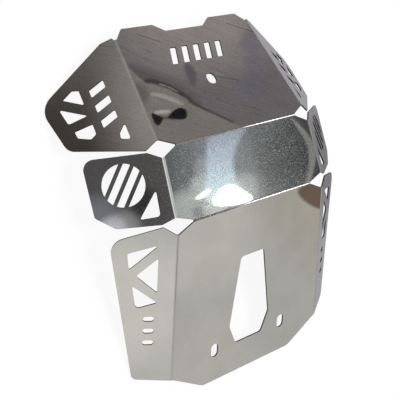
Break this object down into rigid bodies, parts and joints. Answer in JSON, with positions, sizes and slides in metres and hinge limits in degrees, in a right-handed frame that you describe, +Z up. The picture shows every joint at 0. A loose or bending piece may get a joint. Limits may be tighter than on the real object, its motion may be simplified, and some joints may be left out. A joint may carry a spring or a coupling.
{
  "type": "motorcycle skid plate",
  "caption": "Folded stainless sheet skid plate with belly, knee and front panels, side wings with truss vents, bolt slots and a drain opening.",
  "frame": {"origin": "centre of the bounding box at the floor the plate rests on, with its outside up", "axes": "+Z up, out of the middle panel; +Y towards the front panel, the end nearest the front wheel; +X across, to the right of someone who looks down at the outside with the front panel at the top"},
  "size_m": [0.3912, 0.4502, 0.1012],
  "materials": {
    "steel": "bright cold rolled stainless sheet, nearly a mirror, laser cut edges"
  },
  "bodies": {
    "root": {"skid_plate": "steel"}
  },
  "joints": []
}
